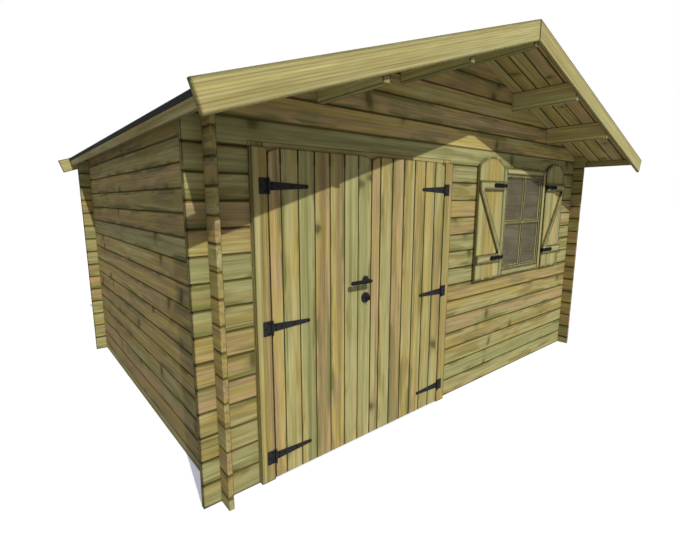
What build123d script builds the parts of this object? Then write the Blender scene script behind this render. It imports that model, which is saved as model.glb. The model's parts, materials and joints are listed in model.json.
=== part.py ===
from build123d import *
from math import cos, radians, sin, tan
import os

# Garden shed of machined logs with a double door, a shuttered window and a
# felted saddle roof.  Millimetres, +Z up.  The origin is on the ground under
# the ridge, half way between the front and the rear barge boards; the front
# looks towards -Y.

# ---------------------------------------------------------------- walls
wall_length = 4180.0        # front wall, over its log ends
wall_depth = 3200.0         # side wall, over its log ends
log_height = 130.0
log_thickness = 28.0
log_end = 95.0              # how far a log runs on past a corner
log_groove = 5.0            # depth and half width of the V joint
wall_log_count = 15         # whole logs up to the foot of the gable
wall_head = 46.0            # side wall above the foot of the gable, at its outer face

# ---------------------------------------------------------------- roof
roof_angle = 18.0
roof_board = 18.0
roof_board_width = 105.0
roof_board_first = 95.0     # the board behind the front barge board
roof_board_groove = 3.0
felt = 3.0
felt_fold = 22.0            # felt turned down over the eaves board
ridge_strip = 150.0         # felt strip down each side of the ridge
eaves_overhang = 118.0      # roof boards outside the side walls
eaves_board = 18.0
eaves_board_height = 73.0
front_overhang = 520.0
rear_overhang = 150.0
barge_thickness = 20.0
barge_height = 120.0
barge_rise = 26.0           # top of the barge board above the soffit
barge_mitre = 1.5           # barge board's end to the ridge line
barge_past_eaves = 115.0    # barge board beyond the roof boards, along the slope
purlin_width = 45.0
ridge_purlin_height = 130.0
purlin_height = 143.0
purlin_places = (655.0, 1305.0)   # ridge line to the inner face of a purlin

# ---------------------------------------------------------------- door
door_offset = 1034.0        # left wall's outer face to the middle of the door
door_opening = 1444.0       # between the door posts
door_post = 84.0
door_post_thickness = 28.0
door_top = 1822.0
door_foot = 10.0            # leaf above the ground
door_gap = 6.0
door_back_gap = 6.0         # leaf to the lining behind it
door_board = 107.0
door_groove = 3.0
shoulder_width = 80.0       # rounded top corner of a leaf
shoulder_drop = 27.0
lining_reveal = 6.0         # lining seen beside the posts
head_reveal = 28.0          # lining seen above the posts
lining_lap = 20.0           # lining behind the edge of a leaf
head_lap = 45.0
head_joint = 81.0           # outer edge of the lining to the end of its head strip
sill_height = 60.0
ledge_height = 92.0
ledge_thickness = 20.0
ledge_margin = 30.0
hinge_heights = (144.0, 892.0, 1633.0)

# ---------------------------------------------------------------- ironwork
iron = 3.0
plate_width = 52.0
plate_height = 80.0
strap_length = 246.0
strap_root = 44.0
strap_tip = 20.0
knuckle = 12.0
hinge_pin = 6.0
pin_forward = 8.0           # pin centre in front of the leaf
pin_clearance = 0.4
knuckle_gap = 1.0
lever_height = 1071.0
lever_inset = 46.0          # spindle from the leaf's free edge
lever_length = 154.0
lever_bar = 24.0
lever_thickness = 14.0
lever_reach = 50.0          # leaf to the middle of the bar
rose_diameter = 50.0
lock_diameter = 62.0
rose_thickness = 10.0
spindle = 18.0
lock_drop = 111.0
key_stem = 8.0
key_reach = 30.0
key_bow = 24.0

# ---------------------------------------------------------------- window
window_offset = 2939.0      # left wall's outer face to the middle of the window
window_width = 750.0        # frame, outside
window_height = 922.0
window_foot = 906.0
window_board = 50.0
window_proud = 22.0
sash_rim = 25.0
sash_bar = 24.0
sash_thickness = 30.0
sash_recess = 6.0           # sash behind the face of the frame
glass = 4.0
shutter_gap = 8.0           # between the closed shutters
shutter_height = 996.0
shutter_arch = 73.0         # rise of the arched top
shutter_boards = 3
shutter_board = 18.0
shutter_groove = 2.0
shutter_ledge = 18.0
shutter_ledge_height = 70.0
shutter_ledge_places = (142.0, 739.0)   # shutter's foot to the foot of a ledge
shutter_brace = 52.0
shutter_off_wall = 10.0
shutter_pin_side = 4.0      # shutter's edge to its pin
shutter_pin_off = 2.0       # pin outside the window frame
shutter_pin_forward = 5.0   # pin in front of the ledges
shutter_pin = 5.0
shutter_knuckle = 9.0
lobe_width = 64.0
lobe_height = 36.0
lobe_pitch = 50.0
lobe_first = 53.0           # pin to the middle of the first lobe
lobe_count = 3
shutter_iron = 5.0
pintle_height = 34.0
pintle_grip = 20.0          # pintle along the side of the window frame
lobe_bar = 14.0

# ---------------------------------------------------------------- floor
floor_board = 18.0
floor_gap = 0.0             # floor to the walls
bearer = 42.0
bearer_count = 6

# ---------------------------------------------------------------- worked out
wall_left = -wall_length / 2 + log_end
wall_right = -wall_left
roof_length = front_overhang + wall_depth - 2 * log_end + rear_overhang
front_face = -roof_length / 2 + front_overhang
back_face = front_face + wall_depth - 2 * log_end
boards_front = -roof_length / 2 + barge_thickness
boards_back = roof_length / 2 - barge_thickness
gable_foot = wall_log_count * log_height
slope_x = cos(radians(roof_angle))
slope_z = sin(radians(roof_angle))
slope = tan(radians(roof_angle))
soffit_ridge_height = gable_foot + wall_head + wall_right * slope
roof_run = (wall_right + eaves_overhang) / slope_x     # ridge to eaves, along the slope
barge_run = roof_run + barge_past_eaves

door_x = wall_left + door_offset
door_face = front_face - door_post_thickness
lining_half = door_opening / 2 + door_post + lining_reveal
lining_top = door_top + head_reveal
lining_board = lining_reveal + door_post + door_gap + lining_lap
leaf_width = (door_opening - 3 * door_gap) / 2
leaf_back = front_face - door_back_gap

window_x = wall_left + window_offset
window_top = window_foot + window_height
window_face = front_face - window_proud
shutter_back = front_face - shutter_off_wall
shutter_front = shutter_back - shutter_board
shutter_ledge_front = shutter_front - shutter_ledge
shutter_pin_x = window_x - window_width / 2 - shutter_pin_off
shutter_width = window_x - shutter_gap / 2 - shutter_pin_x - shutter_pin_side
shutter_pin_y = shutter_ledge_front - shutter_pin_forward
floor_top = bearer + floor_board


def soffit(x):
    """Height of the underside of the roof boards above x."""
    return soffit_ridge_height - abs(x) * slope


def on_roof(run, rise):
    """Point (x, z) of the left slope, run down it and rise square to it."""
    return (-run * slope_x - rise * slope_z, soffit_ridge_height - run * slope_z + rise * slope_x)


def at_ridge(rise):
    """Point (x, z) where the plane that lies rise above the soffit meets the ridge."""
    return (0, soffit_ridge_height + rise / slope_x)


def joints(first, low, high):
    """Heights of the log joints between low and high, one log apart."""
    count = int((high - first) / log_height) + 1
    heights = [first + k * log_height for k in range(count)]
    return [h for h in heights if low + log_groove < h < high - log_groove]


def log_section(face, inward, low, high_outer, high_inner, first):
    """Outline of a stack of logs: outer face, inner face and a V at each joint."""
    inner = face + inward * log_thickness
    notch = inward * log_groove
    outline = [(face, low)]
    for h in joints(first, low, high_outer):
        outline += [(face, h - log_groove), (face + notch, h), (face, h + log_groove)]
    outline += [(face, high_outer), (inner, high_inner)]
    for h in reversed(joints(first, low, high_inner)):
        outline += [(inner, h + log_groove), (inner - notch, h), (inner, h - log_groove)]
    outline += [(inner, low)]
    return outline


def cross_heights(first, high):
    """Middles of the logs of the other wall where two walls cross."""
    return [first + k * log_height for k in range(int(high / log_height) + 2)]


def save(builder, name):
    builder.part.label = name
    export_step(builder.part, f"parts/{name}.step")


def mirrored(builder, name):
    """Write the piece's twin on the other side of the ridge line."""
    with BuildPart() as twin:
        mirror(builder.part, about=Plane.YZ)
    save(twin, name)
    return twin


os.makedirs("parts", exist_ok=True)

# ================================================================ roof timber
with BuildPart() as ridge_purlin:
    with BuildSketch(Plane.XZ.offset(-boards_back)) as section:
        half = purlin_width / 2
        foot = soffit_ridge_height - ridge_purlin_height
        with BuildLine():
            Polyline((-half, foot), (half, foot), (half, soffit(half)), (0, soffit_ridge_height),
                     (-half, soffit(half)), close=True)
        make_face()
    extrude(amount=boards_back - boards_front)
save(ridge_purlin, "ridge_purlin")

purlins = [ridge_purlin]
for place, level in zip(purlin_places, ("upper", "lower")):
    with BuildPart() as purlin:
        with BuildSketch(Plane.XZ.offset(-boards_back)) as section:
            foot = soffit(place) - purlin_height
            outer = place + purlin_width
            with BuildLine():
                Polyline((-place, foot), (-place, soffit(place)), (-outer, soffit(outer)),
                         (-outer, foot), close=True)
            make_face()
        extrude(amount=boards_back - boards_front)
    save(purlin, f"purlin_left_{level}")
    purlins += [purlin, mirrored(purlin, f"purlin_right_{level}")]

# Roof boards run from ridge to eaves; their V joints show from below.
with BuildPart() as roof_boards_left:
    eaves_x, eaves_z = on_roof(roof_run, 0)
    up_slope = Plane(origin=(eaves_x, 0, eaves_z), x_dir=(0, 1, 0), z_dir=(slope_x, 0, slope_z))
    with BuildSketch(up_slope) as section:
        under = [(boards_front, 0)]
        joint = boards_front + roof_board_first
        while joint < boards_back - roof_board_groove:
            under += [(joint - roof_board_groove, 0), (joint, roof_board_groove), (joint + roof_board_groove, 0)]
            joint += roof_board_width
        under += [(boards_back, 0), (boards_back, roof_board), (boards_front, roof_board)]
        with BuildLine():
            Polyline(*under, close=True)
        make_face()
    extrude(amount=roof_run + roof_board)
    split(bisect_by=Plane.YZ, keep=Keep.BOTTOM)
save(roof_boards_left, "roof_boards_left")
mirrored(roof_boards_left, "roof_boards_right")

with BuildPart() as roof_felt_left:
    with BuildSketch(Plane.XZ.offset(-boards_back)) as section:
        edge = roof_run + eaves_board
        with BuildLine():
            Polyline(at_ridge(roof_board), at_ridge(roof_board + felt), on_roof(edge + felt, roof_board + felt),
                     on_roof(edge + felt, roof_board - felt_fold), on_roof(edge, roof_board - felt_fold),
                     on_roof(edge, roof_board), close=True)
        make_face()
    extrude(amount=boards_back - boards_front)
save(roof_felt_left, "roof_felt_left")
mirrored(roof_felt_left, "roof_felt_right")

with BuildPart() as ridge_felt:
    with BuildSketch(Plane.XZ.offset(-boards_back)) as section:
        lower = roof_board + felt
        upper = lower + felt
        foot_x, foot_z = on_roof(ridge_strip, lower)
        edge_x, edge_z = on_roof(ridge_strip, upper)
        with BuildLine():
            Polyline((foot_x, foot_z), at_ridge(lower), (-foot_x, foot_z), (-edge_x, edge_z),
                     at_ridge(upper), (edge_x, edge_z), close=True)
        make_face()
    extrude(amount=boards_back - boards_front)
save(ridge_felt, "ridge_felt")

with BuildPart() as eaves_board_left:
    with BuildSketch(Plane.XZ.offset(-boards_back)) as section:
        low = roof_board - eaves_board_height
        with BuildLine():
            Polyline(on_roof(roof_run, roof_board), on_roof(roof_run + eaves_board, roof_board),
                     on_roof(roof_run + eaves_board, low), on_roof(roof_run, low), close=True)
        make_face()
    extrude(amount=boards_back - boards_front)
save(eaves_board_left, "eaves_board_left")
mirrored(eaves_board_left, "eaves_board_right")

for end, back in (("front", boards_front), ("rear", roof_length / 2)):
    with BuildPart() as barge:
        with BuildSketch(Plane.XZ.offset(-back)) as section:
            low = barge_rise - barge_height
            with BuildLine():
                Polyline(at_ridge(barge_rise), on_roof(barge_run, barge_rise), on_roof(barge_run, low),
                         at_ridge(low), close=True)
            make_face()
        extrude(amount=barge_thickness)
        split(bisect_by=Plane.YZ.offset(-barge_mitre), keep=Keep.BOTTOM)
    save(barge, f"barge_board_{end}_left")
    mirrored(barge, f"barge_board_{end}_right")

# ================================================================ walls
def cross_wall(x_low, x_high, z_low, z_high, face, inward):
    """Part of the front or back wall between x_low and x_high."""
    with BuildPart() as wall:
        with BuildSketch(Plane.YZ.offset(x_low)) as section:
            with BuildLine():
                Polyline(*log_section(face, inward, z_low, z_high, z_high, 0), close=True)
            make_face()
        extrude(amount=x_high - x_low)
        middle = face + inward * log_thickness / 2
        corners = [(x, middle, h) for x in (wall_left + log_thickness / 2, wall_right - log_thickness / 2)
                   for h in cross_heights(0, z_high) if x_low < x < x_high]
        if corners:
            with Locations(*corners):
                Box(log_thickness, log_thickness, log_height / 2, mode=Mode.SUBTRACT)
        if z_high > soffit(x_low):
            with BuildSketch(Plane.XZ.offset(-back_face)) as outline:
                with BuildLine():
                    Polyline((x_low, 0), (x_high, 0), (x_high, soffit(x_high)), (0, soffit_ridge_height),
                             (x_low, soffit(x_low)), close=True)
                make_face()
            extrude(amount=back_face - front_face, mode=Mode.INTERSECT)
            for purlin in purlins:
                add(purlin.part, mode=Mode.SUBTRACT)
    return wall


end_left = wall_left - log_end
end_right = -end_left
door_left = door_x - lining_half
door_right = door_x + lining_half
window_left = window_x - window_width / 2
window_right = window_x + window_width / 2

save(cross_wall(end_left, door_left, 0, gable_foot, front_face, 1), "front_wall_left")
save(cross_wall(door_right, window_left, 0, gable_foot, front_face, 1), "front_wall_middle")
save(cross_wall(window_right, end_right, 0, gable_foot, front_face, 1), "front_wall_right")
save(cross_wall(window_left, window_right, 0, window_foot, front_face, 1), "front_wall_under_window")
save(cross_wall(window_left, window_right, window_top, gable_foot, front_face, 1), "front_wall_over_window")
save(cross_wall(door_left, door_right, lining_top, gable_foot, front_face, 1), "front_wall_over_door")
save(cross_wall(end_left, end_right, gable_foot, soffit_ridge_height, front_face, 1), "front_gable")
save(cross_wall(end_left, end_right, 0, gable_foot, back_face, -1), "back_wall")
save(cross_wall(end_left, end_right, gable_foot, soffit_ridge_height, back_face, -1), "back_gable")

# Side walls start with half a log, so that the logs cross in turn at the corners.
with BuildPart() as left_wall:
    with BuildSketch(Plane.XZ.offset(-back_face - log_end)) as section:
        inner_x = wall_left + log_thickness
        with BuildLine():
            Polyline(*log_section(wall_left, 1, 0, soffit(wall_left), soffit(inner_x), log_height / 2), close=True)
        make_face()
    extrude(amount=wall_depth)
    corner_x = wall_left + log_thickness / 2
    corners = [(corner_x, y, h) for y in (front_face + log_thickness / 2, back_face - log_thickness / 2)
               for h in cross_heights(log_height / 2, soffit(wall_left))]
    with Locations(*corners):
        Box(log_thickness, log_thickness, log_height / 2, mode=Mode.SUBTRACT)
save(left_wall, "left_wall")
mirrored(left_wall, "right_wall")

# ================================================================ door frame
with BuildPart() as door_jambs:
    with Locations(*[(door_x + side * (lining_half - lining_board / 2), front_face + log_thickness / 2, 0)
                     for side in (-1, 1)]):
        Box(lining_board, log_thickness, lining_top, align=(Align.CENTER, Align.CENTER, Align.MIN))
    with Locations((door_x, front_face + log_thickness / 2, lining_top)):
        Box(2 * (lining_half - head_joint), log_thickness, head_reveal + head_lap,
            align=(Align.CENTER, Align.CENTER, Align.MAX), mode=Mode.SUBTRACT)
save(door_jambs, "door_jambs")

clear_half = lining_half - lining_board
with BuildPart() as door_head:
    with Locations((door_x, front_face + log_thickness / 2, lining_top)):
        Box(2 * (lining_half - head_joint), log_thickness, head_reveal + head_lap,
            align=(Align.CENTER, Align.CENTER, Align.MAX))
save(door_head, "door_head")

with BuildPart() as door_sill:
    with Locations((door_x, front_face + log_thickness / 2, 0)):
        Box(2 * clear_half, log_thickness, sill_height, align=(Align.CENTER, Align.CENTER, Align.MIN))
save(door_sill, "door_sill")

with BuildPart() as door_posts:
    with Locations(*[(door_x + side * (door_opening + door_post) / 2, front_face, 0) for side in (-1, 1)]):
        Box(door_post, door_post_thickness, door_top, align=(Align.CENTER, Align.MAX, Align.MIN))
save(door_posts, "door_posts")

# ================================================================ door leaves
pin_left = door_x - door_opening / 2 + door_gap / 2
pin_right = door_x + door_opening / 2 - door_gap / 2
pin_y = door_face - pin_forward


def door_leaf(x_low):
    """A leaf of upright boards whose two top corners are rounded."""
    x_high = x_low + leaf_width
    with BuildPart() as leaf:
        with BuildSketch(Plane.XY.offset(door_foot)) as section:
            front = [(x_low, door_face)]
            joint = x_high - door_board * int(leaf_width / door_board)
            while joint < x_high - door_groove:
                front += [(joint - door_groove, door_face), (joint, door_face + door_groove),
                          (joint + door_groove, door_face)]
                joint += door_board
            front += [(x_high, door_face), (x_high, leaf_back), (x_low, leaf_back)]
            with BuildLine():
                Polyline(*front, close=True)
            make_face()
        extrude(amount=door_top - door_foot)
        with BuildSketch(Plane.XZ.offset(-leaf_back)) as outline:
            with BuildLine():
                Line((x_low, door_foot), (x_low, door_top - shoulder_drop))
                TangentArc((x_low + shoulder_width, door_top), (x_low, door_top - shoulder_drop), tangent=(-1, 0))
                Line((x_low + shoulder_width, door_top), (x_high - shoulder_width, door_top))
                TangentArc((x_high - shoulder_width, door_top), (x_high, door_top - shoulder_drop), tangent=(1, 0))
                Line((x_high, door_top - shoulder_drop), (x_high, door_foot))
                Line((x_high, door_foot), (x_low, door_foot))
            make_face()
        extrude(amount=leaf_back - door_face, mode=Mode.INTERSECT)
    return leaf


def leaf_frame(x_low, hinge_side):
    """Three ledges behind the hinges and the two braces between them."""
    x_left = x_low + ledge_margin
    x_right = x_low + leaf_width - ledge_margin
    span = x_right - x_left
    with BuildPart() as frame:
        with BuildSketch(Plane.XZ.offset(-leaf_back)) as outline:
            for height in hinge_heights:
                with Locations(((x_left + x_right) / 2, height)):
                    Rectangle(span, ledge_height)
            for low, high in zip(hinge_heights, hinge_heights[1:]):
                foot = low + ledge_height / 2
                head = high - ledge_height / 2
                near = x_left if hinge_side < 0 else x_right
                far = x_right if hinge_side < 0 else x_left
                inward = -hinge_side * ledge_height
                with BuildLine():
                    Polyline((near, foot), (near + inward, foot), (far, head), (far - inward, head), close=True)
                make_face()
        extrude(amount=-ledge_thickness)
    return frame


leaf_left_x = door_x - door_opening / 2 + door_gap
leaf_right_x = door_x + door_gap / 2
save(door_leaf(leaf_left_x), "door_leaf_left")
save(door_leaf(leaf_right_x), "door_leaf_right")
save(leaf_frame(leaf_left_x, -1), "door_ledges_left")
save(leaf_frame(leaf_right_x, 1), "door_ledges_right")

# T hinges: a plate on the post with the outer knuckles and the pin, and a
# tapered strap on the leaf with the middle knuckle.
middle_knuckle = strap_root - 2 * iron
pocket = middle_knuckle + 2 * pin_clearance
end_knuckle = (plate_height - pocket) / 2
knuckle_clear = knuckle / 2 + pin_clearance
hinge_spots = ((pin_left, -1), (pin_right, 1))

with BuildPart() as door_hinge_plates:
    for pin_x, outward in hinge_spots:
        side = Align.MIN if outward > 0 else Align.MAX
        for height in hinge_heights:
            with Locations((pin_x, door_face, height)):
                Box(plate_width, iron, plate_height, align=(side, Align.MAX, Align.CENTER))
                Box(2 * knuckle_clear, 2 * iron, pocket, mode=Mode.SUBTRACT)
            with Locations(*[(pin_x, pin_y, height + end * (plate_height - end_knuckle) / 2) for end in (-1, 1)]):
                Cylinder(knuckle / 2, end_knuckle)
            with Locations((pin_x, pin_y, height)):
                Cylinder(hinge_pin / 2, plate_height)
save(door_hinge_plates, "door_hinge_plates")


def door_straps(pin_x, inward):
    """The three straps of a leaf, tapering away from their pins."""
    with BuildPart() as straps:
        for height in hinge_heights:
            root_x = pin_x + inward * (knuckle_clear + knuckle_gap)
            tip_x = pin_x + inward * (strap_length - strap_tip / 2)
            with BuildSketch(Plane.XZ.offset(-door_face)) as outline:
                with BuildLine():
                    Polyline((tip_x, height + strap_tip / 2), (root_x, height + strap_root / 2),
                             (root_x, height + middle_knuckle / 2), (pin_x, height + middle_knuckle / 2),
                             (pin_x, height - middle_knuckle / 2), (root_x, height - middle_knuckle / 2),
                             (root_x, height - strap_root / 2), (tip_x, height - strap_tip / 2))
                    ThreePointArc((tip_x, height - strap_tip / 2), (tip_x + inward * strap_tip / 2, height),
                                  (tip_x, height + strap_tip / 2))
                make_face()
            extrude(amount=iron)
            with Locations((pin_x, pin_y, height)):
                Cylinder(knuckle / 2, middle_knuckle)
                Cylinder(hinge_pin / 2 + pin_clearance, middle_knuckle, mode=Mode.SUBTRACT)
    return straps


save(door_straps(pin_left, 1), "door_straps_left")
save(door_straps(pin_right, -1), "door_straps_right")

# Lever handle and lock on the left leaf.
spindle_x = leaf_left_x + leaf_width - lever_inset
with BuildPart() as door_rose:
    with BuildSketch(Plane.XZ.offset(-door_face)) as outline:
        with Locations((spindle_x, lever_height)):
            Circle(rose_diameter / 2)
            Circle(spindle / 2 + pin_clearance, mode=Mode.SUBTRACT)
    extrude(amount=rose_thickness)
save(door_rose, "door_rose")

with BuildPart() as door_lever:
    with BuildSketch(Plane.XZ.offset(-door_face + pin_clearance)) as neck:
        with Locations((spindle_x, lever_height)):
            Circle(spindle / 2)
    extrude(amount=lever_reach)
    with BuildSketch(Plane.XZ.offset(-door_face + lever_reach - lever_thickness / 2)) as bar:
        with Locations((spindle_x - (lever_length - lever_bar / 2) / 2, lever_height)):
            SlotCenterToCenter(lever_length - lever_bar / 2, lever_bar)
    extrude(amount=lever_thickness)
    fillet(door_lever.faces().filter_by(Axis.Y).sort_by(Axis.Y)[0].edges(), radius=lever_thickness / 3)
save(door_lever, "door_lever")

with BuildPart() as door_lock:
    with BuildSketch(Plane.XZ.offset(-door_face)) as outline:
        with Locations((spindle_x, lever_height - lock_drop)):
            Circle(lock_diameter / 2)
    extrude(amount=rose_thickness)
    with BuildSketch(Plane.XZ.offset(-door_face + rose_thickness)) as stem:
        with Locations((spindle_x, lever_height - lock_drop)):
            Circle(key_stem / 2)
    extrude(amount=key_reach)
    with BuildSketch(Plane.YZ.offset(spindle_x - key_stem / 4)) as bow:
        with Locations((door_face - rose_thickness - key_reach, lever_height - lock_drop)):
            Circle(key_bow / 2)
    extrude(amount=key_stem / 2)
save(door_lock, "door_lock")

# ================================================================ window
frame_depth = window_proud + log_thickness
inner_half = window_width / 2 - window_board
glass_y = window_face + sash_recess + sash_thickness / 2

with BuildPart() as window_jambs:
    with Locations(*[(window_x + side * (window_width - window_board) / 2, window_face, window_foot)
                     for side in (-1, 1)]):
        Box(window_board, frame_depth, window_height, align=(Align.CENTER, Align.MIN, Align.MIN))
save(window_jambs, "window_jambs")

with BuildPart() as window_rails:
    with Locations(*[(window_x, window_face, z) for z in (window_foot, window_top - window_board)]):
        Box(2 * inner_half, frame_depth, window_board, align=(Align.CENTER, Align.MIN, Align.MIN))
save(window_rails, "window_rails")

pane_width = (2 * inner_half - 2 * sash_rim - sash_bar) / 2
pane_height = (window_height - 2 * window_board - 2 * sash_rim - sash_bar) / 2
sash_middle = window_foot + window_height / 2
with BuildPart() as window_sash:
    with BuildSketch(Plane.XZ.offset(-window_face - sash_recess)) as outline:
        with Locations((window_x, sash_middle)):
            Rectangle(2 * inner_half, window_height - 2 * window_board)
            with GridLocations(pane_width + sash_bar, pane_height + sash_bar, 2, 2):
                Rectangle(pane_width, pane_height, mode=Mode.SUBTRACT)
    extrude(amount=-sash_thickness)
save(window_sash, "window_sash")

with BuildPart() as window_glass:
    with BuildSketch(Plane.XZ.offset(-glass_y)) as outline:
        with Locations((window_x, sash_middle)):
            with GridLocations(pane_width + sash_bar, pane_height + sash_bar, 2, 2):
                Rectangle(pane_width, pane_height)
    extrude(amount=glass / 2, both=True)
save(window_glass, "window_glass")

# ================================================================ shutters
shutter_edge = shutter_pin_x - shutter_pin_side      # the edge beside the window
shutter_outer = shutter_edge - shutter_width


def at_window(x):
    """The place of x on the other side of the window's middle."""
    return 2 * window_x - x


def twin_at_window(builder):
    with BuildPart() as twin:
        mirror(builder.part, about=Plane.YZ.offset(window_x))
    return twin


with BuildPart() as shutter_left:
    with BuildSketch(Plane.XY.offset(window_foot)) as section:
        front = [(shutter_outer, shutter_front)]
        for k in range(1, shutter_boards):
            joint = shutter_outer + k * shutter_width / shutter_boards
            front += [(joint - shutter_groove, shutter_front), (joint, shutter_front + shutter_groove),
                      (joint + shutter_groove, shutter_front)]
        front += [(shutter_edge, shutter_front), (shutter_edge, shutter_back), (shutter_outer, shutter_back)]
        with BuildLine():
            Polyline(*front, close=True)
        make_face()
    extrude(amount=shutter_height)
    with BuildSketch(Plane.XZ.offset(-shutter_back)) as outline:
        shoulder = window_foot + shutter_height - shutter_arch
        with BuildLine():
            Polyline((shutter_outer, shoulder), (shutter_outer, window_foot), (shutter_edge, window_foot),
                     (shutter_edge, shoulder))
            ThreePointArc((shutter_edge, shoulder), ((shutter_edge + shutter_outer) / 2, window_foot + shutter_height),
                          (shutter_outer, shoulder))
        make_face()
    extrude(amount=shutter_board, mode=Mode.INTERSECT)
save(shutter_left, "shutter_left")
save(twin_at_window(shutter_left), "shutter_right")

with BuildPart() as shutter_ledges_left:
    with BuildSketch(Plane.XZ.offset(-shutter_front)) as outline:
        for place in shutter_ledge_places:
            with Locations(((shutter_outer + shutter_edge) / 2, window_foot + place)):
                Rectangle(shutter_width, shutter_ledge_height, align=(Align.CENTER, Align.MIN))
        foot = window_foot + shutter_ledge_places[0] + shutter_ledge_height
        head = window_foot + shutter_ledge_places[1]
        with BuildLine():
            Polyline((shutter_edge, foot), (shutter_edge - shutter_brace, foot), (shutter_outer, head),
                     (shutter_outer + shutter_brace, head), close=True)
        make_face()
    extrude(amount=shutter_ledge)
save(shutter_ledges_left, "shutter_ledges_left")
save(twin_at_window(shutter_ledges_left), "shutter_ledges_right")

shutter_hinge_heights = [window_foot + place + shutter_ledge_height / 2 for place in shutter_ledge_places]
eye = shutter_knuckle / 2
knuckle_length = lobe_bar + 2 * pin_clearance

with BuildPart() as shutter_straps_left:
    for height in shutter_hinge_heights:
        reach = lobe_first + (lobe_count - 1) * lobe_pitch
        with BuildSketch(Plane.XZ.offset(-shutter_ledge_front)) as outline:
            with Locations((shutter_pin_x, height)):
                Rectangle(reach, lobe_bar, align=(Align.MAX, Align.CENTER))
            with Locations(*[(shutter_pin_x - lobe_first - k * lobe_pitch, height) for k in range(lobe_count)]):
                Ellipse(lobe_width / 2, lobe_height / 2)
        extrude(amount=shutter_iron)
        with Locations((shutter_pin_x, shutter_pin_y, height)):
            Cylinder(eye, lobe_bar)
            Cylinder(shutter_pin / 2 + pin_clearance, lobe_bar, mode=Mode.SUBTRACT)
save(shutter_straps_left, "shutter_straps_left")
save(twin_at_window(shutter_straps_left), "shutter_straps_right")

with BuildPart() as shutter_pintles:
    for height in shutter_hinge_heights:
        with BuildSketch(Plane.XY.offset(height - pintle_height / 2)) as plan:
            with Locations((shutter_pin_x, shutter_pin_y)):
                Circle(eye)
            with Locations((shutter_pin_x + shutter_pin_off, shutter_pin_y)):
                Rectangle(iron, window_face + pintle_grip - shutter_pin_y, align=(Align.MAX, Align.MIN))
        extrude(amount=pintle_height)
        with Locations((shutter_pin_x, shutter_pin_y, height)):
            Box(4 * eye, window_face - shutter_pin_y, knuckle_length, align=(Align.CENTER, Align.CENTER, Align.CENTER),
                mode=Mode.SUBTRACT)
            Cylinder(shutter_pin / 2, pintle_height)
    mirror(about=Plane.YZ.offset(window_x))
save(shutter_pintles, "shutter_pintles")

# ================================================================ floor
room_left = wall_left + log_thickness + floor_gap
room_front = front_face + log_thickness + floor_gap
room_back = back_face - log_thickness - floor_gap
with BuildPart() as floor_boards:
    with Locations((0, (room_front + room_back) / 2, bearer)):
        Box(-2 * room_left, room_back - room_front, floor_board, align=(Align.CENTER, Align.CENTER, Align.MIN))
save(floor_boards, "floor_boards")

with BuildPart() as floor_bearers:
    with Locations((0, (room_front + room_back) / 2, 0)):
        with GridLocations((-2 * room_left - bearer) / (bearer_count - 1), 1, bearer_count, 1):
            Box(bearer, room_back - room_front, bearer, align=(Align.CENTER, Align.CENTER, Align.MIN))
save(floor_bearers, "floor_bearers")
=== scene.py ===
import json
import math

import bpy
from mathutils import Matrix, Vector


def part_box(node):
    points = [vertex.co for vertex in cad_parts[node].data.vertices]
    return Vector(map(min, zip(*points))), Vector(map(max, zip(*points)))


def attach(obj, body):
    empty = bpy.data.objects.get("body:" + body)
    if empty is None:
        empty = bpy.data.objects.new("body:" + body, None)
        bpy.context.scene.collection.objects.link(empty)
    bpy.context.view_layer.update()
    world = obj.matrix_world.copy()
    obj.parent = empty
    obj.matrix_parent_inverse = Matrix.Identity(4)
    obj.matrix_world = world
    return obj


bl_info = {
    "name": "Garden shed",
    "version": (1, 0, 0),
    "blender": (4, 5, 0),
    "location": "View3D > Sidebar > Shed",
    "description": "Finishes a log garden shed: timber, felt, ironwork, glass and stage",
    "category": "Add Mesh",
}

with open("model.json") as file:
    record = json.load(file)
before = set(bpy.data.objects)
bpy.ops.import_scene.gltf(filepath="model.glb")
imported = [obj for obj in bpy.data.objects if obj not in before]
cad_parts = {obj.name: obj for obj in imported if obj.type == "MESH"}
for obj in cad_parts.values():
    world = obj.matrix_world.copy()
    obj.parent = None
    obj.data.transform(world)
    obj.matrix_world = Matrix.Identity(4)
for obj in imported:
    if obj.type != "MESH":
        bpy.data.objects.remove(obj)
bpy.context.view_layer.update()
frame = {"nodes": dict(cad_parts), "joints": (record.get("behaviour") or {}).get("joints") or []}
NODES = frame["nodes"]

# sizes of the solids that the finishes follow, in metres
ROOF_SLOPE = math.radians(18.0)
FIRST_ROOF_BOARD = 0.095        # the roof board behind the front barge board
LOG_HALF = 0.014                # half of a log's thickness
GLAZING_BAR = 0.024
SHUTTER_BOARDS = 3
SHUTTER_LEDGE = 0.070           # height of a shutter's ledge
SHUTTER_BRACE = 0.052           # width of its brace
DOOR_IRON = 0.003               # thickness of the plates and straps on the door
SHUTTER_IRON = 0.005            # and of the straps on the shutters

# screws: distance from the hinge's pin, and height from its middle
PLATE_SCREWS = ((0.020, 0.028), (0.020, -0.028), (0.038, 0.0))
STRAP_SCREWS = ((0.022, 0.011), (0.022, -0.011), (0.058, 0.0), (0.140, 0.0), (0.234, 0.0))
SHUTTER_SCREWS = (0.053, 0.103, 0.153)

# how far the middle of a screw head, a felt lap and a glazing bead stands off, as a share of its thickness
HEAD_OUT, LAP_OUT, BEAD_OUT = 0.4, 0.3, 0.2

LAP_ROWS = (0.42, 0.80)         # laps of the felt, as shares of the way from the ridge to the eaves
NAILS_BELOW = 0.012             # from the middle of a lap down to its nails

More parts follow.
